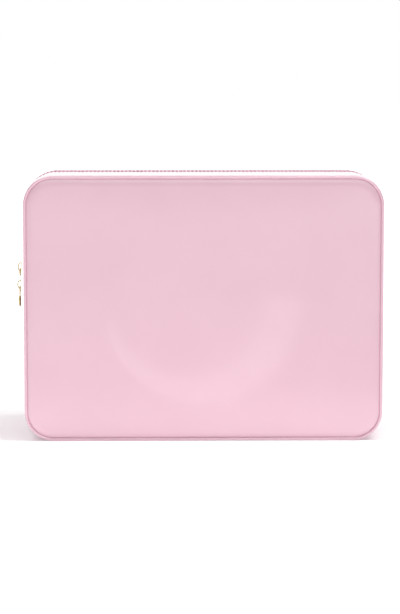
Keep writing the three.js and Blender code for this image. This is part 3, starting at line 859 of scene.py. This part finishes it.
def slider_parts(head_up):
    """A slider about the zip's surface at its middle: plates, bail, web and rails."""
    plate_top = -SLIDER_LIFT - PLATE_THICKNESS
    top = dome_plate(head_up, plate_top, -SLIDER_LIFT, PLATE_CROWN)
    under = dome_plate(head_up, LOWER_PLATE_UNDER, LOWER_PLATE_UNDER + PLATE_THICKNESS, 0.0)

    turn = np.linspace(0, math.pi, BAIL_STEPS)
    reach_z = BAIL_LENGTH / 2 - BAIL_THICKNESS / 2
    reach_x = BAIL_HEIGHT - BAIL_THICKNESS / 2
    level = np.zeros(BAIL_STEPS)
    path = np.stack([plate_top - reach_x * np.sin(turn), level, reach_z * np.cos(turn)], axis=-1)
    path[0, 0] = path[-1, 0] = plate_top + BAIL_SUNK
    outward = np.stack([-np.sin(turn), level, np.cos(turn)], axis=-1)
    bail = swept_loop(path, outward, BAIL_THICKNESS / 2, BAIL_WIDTH / 2, False)

    web_x = np.linspace(-SLIDER_LIFT - WEB_SUNK, LOWER_PLATE_UNDER + WEB_SUNK, WEB_STEPS)
    web_z = np.full(WEB_STEPS, WEB_TOWARDS_HEAD * head_up)
    web_path = np.stack([web_x, np.zeros(WEB_STEPS), web_z], axis=-1)
    along_z = np.tile([0.0, 0.0, 1.0], (WEB_STEPS, 1))
    web = swept_loop(web_path, along_z, WEB_HALF_LENGTH, WEB_HALF_WIDTH, False)

    rails = []
    z = np.linspace(-SLIDER_LENGTH / 2 + RAIL_ENDS[0], SLIDER_LENGTH / 2 - RAIL_ENDS[1], RAIL_STEPS)
    from_end = np.minimum(np.arange(RAIL_STEPS), np.arange(RAIL_STEPS)[::-1])
    taper = np.clip(from_end / 2 + 0.3, 0, 1)
    along_x = np.tile([1.0, 0.0, 0.0], (RAIL_STEPS, 1))
    for side in (-1, 1):
        rail_y = side * (plate_half_width(z) - RAIL_INSET)
        rail_path = np.stack([np.full(RAIL_STEPS, -SLIDER_LIFT), rail_y, z * head_up], axis=-1)
        rails.append(swept_loop(rail_path, along_x, RAIL_HALF_HEIGHT, RAIL_HALF_WIDTH, False, taper=taper))
    return joined([top, under, bail, web, *rails])


def pull_parts():
    """A pull about the bail's lower leg: a rounded eye frame that swells to a smooth drop."""
    y, z = squared_circle(np.linspace(0, 2 * math.pi, EYE_STEPS, endpoint=False), 0.4)
    z_middle, z_half = (BAR_ABOVE_LEG - EYE_END - 1) / 2, (BAR_ABOVE_LEG + EYE_END + 1) / 2
    path = np.stack([np.zeros(EYE_STEPS), EYE_HALF_WIDTH * y, z_middle + z_half * z], axis=-1)
    frame_bar = swept_loop(path, np.tile([1.0, 0.0, 0.0], (EYE_STEPS, 1)), *EYE_HALF_THICKNESS, True)

    sides, steps = 36, 26
    t = np.linspace(0, 1, steps)
    radius = DROP_HALF_WIDTH * np.sin(math.pi * np.clip(t, 0.004, 0.997) ** 0.8) ** 0.8
    down = -DROP_START - (PULL_TIP - DROP_START) * t
    angles = np.linspace(0, 2 * math.pi, sides, endpoint=False)
    drop = np.stack([
        DROP_FLATNESS * radius[:, None] * np.cos(angles)[None, :],
        radius[:, None] * np.sin(angles)[None, :],
        np.broadcast_to(down[:, None], (steps, sides)),
    ], axis=-1).reshape(-1, 3)
    drop_faces = grid_faces(steps, sides, False, True)
    drop_faces.append(tuple(range(sides)))
    drop_faces.append(tuple(reversed(range((steps - 1) * sides, steps * sides))))
    return joined([frame_bar, (drop, drop_faces)])


for prefix, head_up in (("upper", -1), ("lower", 1)):
    height = SLIDER_HEIGHT[prefix]
    heights, swells = zip(*SIDE_SWELL)
    swell = float(np.interp(height, heights, swells))
    slope = math.atan(swell - float(np.interp(height + 1, heights, swells)))
    place = Matrix.Translation((-WIDTH / 2 - swell, 0, height)) @ Matrix.Rotation(slope, 4, "Y")
    leg = place @ Matrix.Translation((-FRAME_LIFT, 0, -LEG_DROP))
    hang = leg @ Matrix.Rotation(PULL_LEAN[prefix], 4, "X")
    for kind, (points, faces), matrix in (
        ("slider", slider_parts(head_up), place), ("pull", pull_parts(), hang),
    ):
        turned = points @ np.array(matrix.to_3x3()).T + np.array(matrix.translation)
        body = f"{prefix}_{kind}"
        make(f"{prefix}_zip_{kind}", turned, faces, GOLD, body, [body])

# ---------------------------------------------------------------- pocket and brush strap

CLOTH_COLUMNS = 90
CLOTH_ROWS = 30


def cloth_panel(name, width, height_range, y_at, thickness, material, body, node):
    """A sewn panel of cloth facing along Y, whose face follows y_at(x, z)."""
    across = np.linspace(-width / 2, width / 2, CLOTH_COLUMNS)
    x, z = np.meshgrid(across, np.linspace(*height_range, CLOTH_ROWS), indexing="ij")
    near = y_at(x, z)
    ahead = np.stack([x, near, z], axis=-1)
    behind = np.stack([x, near + thickness, z], axis=-1)
    points = np.concatenate([ahead, behind[:, ::-1]], axis=1)
    uv = points[..., [0, 2]] * MM
    make(name, points, closed_strip(points, False), material, body, [node], uv)


POCKET_WIDTH = 236.0
POCKET_CLOTH = 0.5
POCKET_SLACK = 1.6
POCKET_GATHER = 0.35
pocket_low, pocket_high = box_mm("slip_pocket")


def pocket_face(x, z):
    """The pocket is flat along its sewn sides and base, and slack towards its open top."""
    up = (z - pocket_low[2]) / (pocket_high[2] - pocket_low[2])
    across = np.clip(1 - (x / pocket_high[0]) ** 2, 0, 1)
    gather = POCKET_GATHER * np.sin(x / 3.1 + np.sin(x / 17.0)) * up**3
    return pocket_low[1] - (POCKET_SLACK * across + gather) * np.clip(up, 0, 1)


POCKET_BINDING_WIDTH = 237.0
POCKET_BINDING_THICKNESS = 1.2
POCKET_BINDING_PROUD = 0.7
POCKET_BINDING_HALF_HEIGHT = 3.0
POCKET_BINDING_ROUND = 0.5
binding_low, binding_high = box_mm("pocket_binding")


def binding_face(x, z):
    """The binding follows the pocket's top edge, and its face is rounded."""
    from_middle = (z - (binding_low[2] + binding_high[2]) / 2) / POCKET_BINDING_HALF_HEIGHT
    fold = POCKET_BINDING_ROUND * from_middle**2
    return pocket_face(x, np.full_like(z, pocket_high[2])) - POCKET_BINDING_PROUD + fold


STRAP_WIDTH = 230.0
STRAP_THICKNESS = 0.6
STRAP_FROM_LINING = 0.9
STRAP_LOOP_LENGTH = 23.0
STRAP_LOOP_RISE = 1.4
STRAP_RIB = 0.06
STRAP_RIB_TURN = 3.9
strap_low, strap_high = box_mm("brush_strap")


def strap_face(x, z):
    """Ribbed elastic that stands off the lining in loops, between its rows of stitching."""
    loop = np.abs(np.sin(math.pi * (x - STRAP_WIDTH / 2) / STRAP_LOOP_LENGTH)) ** 0.6
    return STRAP_FROM_LINING - LINING_Y + STRAP_LOOP_RISE * loop + STRAP_RIB * np.sin(z * STRAP_RIB_TURN)


cloth_panel("slip_pocket_cloth", POCKET_WIDTH, (pocket_low[2], pocket_high[2]), pocket_face, POCKET_CLOTH,
            LINING_CLOTH, "body", "slip_pocket")
cloth_panel("pocket_top_binding", POCKET_BINDING_WIDTH, (binding_low[2] - 1, binding_high[2]), binding_face,
            POCKET_BINDING_THICKNESS, BINDING, "body", "pocket_binding")
cloth_panel("brush_strap_elastic", STRAP_WIDTH, (strap_low[2], strap_high[2]), strap_face, STRAP_THICKNESS,
            BINDING, "door", "brush_strap")

# ---------------------------------------------------------------- floor, light and camera

CAMERA_X = -0.032
CAMERA_DISTANCE = 1.73
CAMERA_DROP = math.radians(6.1)
CAMERA_AIM = (-0.0032, FRONT_Y * MM, 0.1143)
CAMERA_HEIGHT = CAMERA_AIM[2] + CAMERA_DISTANCE * math.tan(CAMERA_DROP)

# The paper glows all over, painted light that is stronger where it is far from both the case and the foot of
# the overhead light.
FLOOR_HALF_SIZE = 30000.0
FLOOR_UNDER = 0.05
FLOOR_GLOW = 0.17
FAR_GLOW = 0.7
KEY_FOOT = (0.6, -0.05, 0.0)
FAR_FROM_KEY = (0.3, 1.2)
FAR_FROM_CASE = (0.22, 0.5)

# A wide pool of painted light far in front, and a strip of it right before the case, which the front panel
# mirrors.
POOL_GLOW = 0.9
POOL_AT = (1.1, -3.4, 0.0)
POOL_RADIUS = 2.2
FRONT_GLOW = 0.9
FRONT_GLOW_NEAR = (-0.07, -0.09)
FRONT_GLOW_FAR = (-0.42, -0.16)
FRONT_GLOW_SIDES = (0.5, 0.15)


def floor_material(name):
    """White paper, and how strongly it glows with painted light: everywhere, far away, in the pool and in the
    strip in front.
    """
    m = Nodes(name)
    place = m.object_place()
    m.set(color=m.mix(m.noise(3, 2, place), srgb("f6f6f6"), srgb("ffffff")), roughness=0.9)
    from_case, from_key, from_pool = (
        m.node("ShaderNodeVectorMath", {0: place, 1: point}, operation="DISTANCE").outputs["Value"]
        for point in ((0.0, 0.0, 0.0), KEY_FOOT, POOL_AT)
    )
    far = m.product(m.spread(from_key, *FAR_FROM_KEY, 0.0, FAR_GLOW), m.spread(from_case, *FAR_FROM_CASE))
    far = m.math("ADD", far, m.spread(from_pool, 0.0, POOL_RADIUS, FLOOR_GLOW + POOL_GLOW, FLOOR_GLOW))
    split = m.node("ShaderNodeSeparateXYZ", {"Vector": place}).outputs
    strip = m.product(m.spread(split["Y"], *FRONT_GLOW_NEAR, 0.0, FRONT_GLOW),
                      m.spread(split["Y"], *FRONT_GLOW_FAR),
                      m.spread(m.math("ABSOLUTE", split["X"]), *FRONT_GLOW_SIDES))
    m.set(glow_color=(1, 1, 1, 1))
    return m, m.math("ADD", far, strip)


def add_floor():
    """A wide sheet of paper, a hair lower than the base of the case."""
    size = FLOOR_HALF_SIZE
    corners = [(-size, -size), (size, -size), (size, size), (-size, size)]
    m, glow = floor_material("floor_white")
    m.set(glow=glow)
    floor = make("studio_floor", [(x, y, -FLOOR_UNDER) for x, y in corners], [(0, 1, 2, 3)], m.material, None)


# The card glows, painted light which lies where its mirror image, from the camera's place, is a crescent of
# light on the front panel between two circles.
# Each circle is its middle's x and z, and its radius.
CARD_GLOW = 0.7
CARD_OUTER = (1.0, 117.0, 90.0)
CARD_INNER = (-18.0, 125.0, 66.0)
CARD_FROM, CARD_TO = math.radians(-172), math.radians(6)
CARD_ROWS = 80
CARD_COLUMNS = 13


def add_glowing_crescent_card():
    """A crescent of paper on the floor in front that glows brighter than the floor, painted light which the
    glossy front panel mirrors faintly.
    """
    along = np.linspace(0, 1, CARD_ROWS)[:, None]
    across = np.linspace(0, 1, CARD_COLUMNS)[None, :]
    turn = np.linspace(CARD_FROM, CARD_TO, CARD_ROWS)[:, None]
    inner, outer = (
        (x + r * np.cos(turn), z + r * np.sin(turn)) for x, z, r in (CARD_INNER, CARD_OUTER)
    )
    x, z = (start + (end - start) * across for start, end in zip(inner, outer))
    eye_x, eye_z = CAMERA_X / MM, CAMERA_HEIGHT / MM
    beyond = z / (eye_z - z)
    floor_x = x + (x - eye_x) * beyond
    floor_y = FRONT_Y - CAMERA_DISTANCE / MM * beyond
    points = np.stack([floor_x, floor_y, np.zeros_like(x)], axis=-1)
    uvs = np.stack(np.broadcast_arrays(along, across), axis=-1)
    m, glow = floor_material("glowing_crescent_paper")
    split = m.node("ShaderNodeSeparateXYZ", {"Vector": m.uv()}).outputs
    # Painted light: the crescent glows more than the floor around it, fading out towards its edges.
    extra = m.product(m.spread(split["Y"], 0.0, 0.35), m.spread(split["Y"], 1.0, 0.8),
                      m.spread(split["X"], 0.0, 0.06), m.spread(split["X"], 1.0, 0.95), CARD_GLOW)
    m.set(glow=m.math("ADD", glow, extra))
    faces = grid_faces(CARD_ROWS, CARD_COLUMNS, False, False)
    card = make("glowing_crescent_card", points, faces, m.material, None, (), uvs)


# Each light's place, what it faces, its size and its power.
LIGHTS = {
    "overhead": ((0.6, -0.05, 1.5), (0.05, 0.0, 0.0), (1.3, 1.0), 13),
    "behind": ((-0.8, 1.2, 1.9), (0.0, 0.05, 0.1), (1.2, 1.0), 16),
}


def area_light(name, place, target, size, power):
    """A rectangular white light that faces its target."""
    data = bpy.data.lights.new(name, "AREA")
    data.shape = "RECTANGLE"
    data.size, data.size_y = size
    data.energy = power
    light = bpy.data.objects.new(name, data)
    light.location = place
    direction = Vector(target) - Vector(place)
    light.rotation_euler = direction.to_track_quat("-Z", "Y").to_euler()
    bpy.context.scene.collection.objects.link(light)


# The sky's strength as soft light and as it is seen or mirrored, and the softbox in it. EDGE and CORE are
# cosines of the angle from the softbox's middle.
SKY_ON_THE_CASE = 0.3
SKY_SEEN = 1.0
SOFTBOX_TOWARDS = (0.12, -0.45, 0.885)
SOFTBOX_EDGE = 0.58
SOFTBOX_CORE = 0.85
SOFTBOX_STRENGTH = 1.6


def add_light():
    """A white sky, dim as soft light and brighter where it is seen or mirrored, and the two area lights."""
    world = bpy.data.worlds.new("studio")
    world.use_nodes = True
    tree = world.node_tree
    background = tree.nodes["Background"]
    background.inputs["Color"].default_value = (1, 1, 1, 1)
    direction = tree.nodes.new("ShaderNodeTexCoord").outputs["Generated"]
    facing = tree.nodes.new("ShaderNodeVectorMath")
    facing.operation = "DOT_PRODUCT"
    facing.inputs[1].default_value = SOFTBOX_TOWARDS
    tree.links.new(direction, facing.inputs[0])
    softbox = tree.nodes.new("ShaderNodeMapRange")
    softbox.interpolation_type = "SMOOTHSTEP"
    softbox.inputs["From Min"].default_value = SOFTBOX_EDGE
    softbox.inputs["From Max"].default_value = SOFTBOX_CORE
    softbox.inputs["To Min"].default_value = SKY_SEEN
    softbox.inputs["To Max"].default_value = SKY_SEEN + SOFTBOX_STRENGTH
    tree.links.new(facing.outputs["Value"], softbox.inputs["Value"])
    path = tree.nodes.new("ShaderNodeLightPath")
    strength = tree.nodes.new("ShaderNodeMapRange")
    tree.links.new(softbox.outputs["Result"], strength.inputs["To Min"])
    strength.inputs["To Max"].default_value = SKY_ON_THE_CASE
    tree.links.new(path.outputs["Is Diffuse Ray"], strength.inputs["Value"])
    tree.links.new(strength.outputs["Result"], background.inputs["Strength"])
    bpy.context.scene.world = world
    for name, settings in LIGHTS.items():
        area_light(name, *settings)


LENS_MM = 121.0
SENSOR_MM = 36.0


def add_camera():
    """The camera, well in front of the case and a little above it."""
    data = bpy.data.cameras.new("camera")
    data.sensor_width = SENSOR_MM
    data.lens = LENS_MM
    data.clip_start, data.clip_end = 0.05, 100
    camera = bpy.data.objects.new("camera", data)
    camera.location = (CAMERA_X, FRONT_Y * MM - CAMERA_DISTANCE, CAMERA_HEIGHT)
    camera.rotation_euler = (Vector(CAMERA_AIM) - camera.location).to_track_quat("-Z", "Y").to_euler()
    bpy.context.scene.collection.objects.link(camera)
    bpy.context.scene.camera = camera


add_floor()
add_glowing_crescent_card()
add_light()
add_camera()
bpy.context.scene.view_settings.view_transform = "Standard"
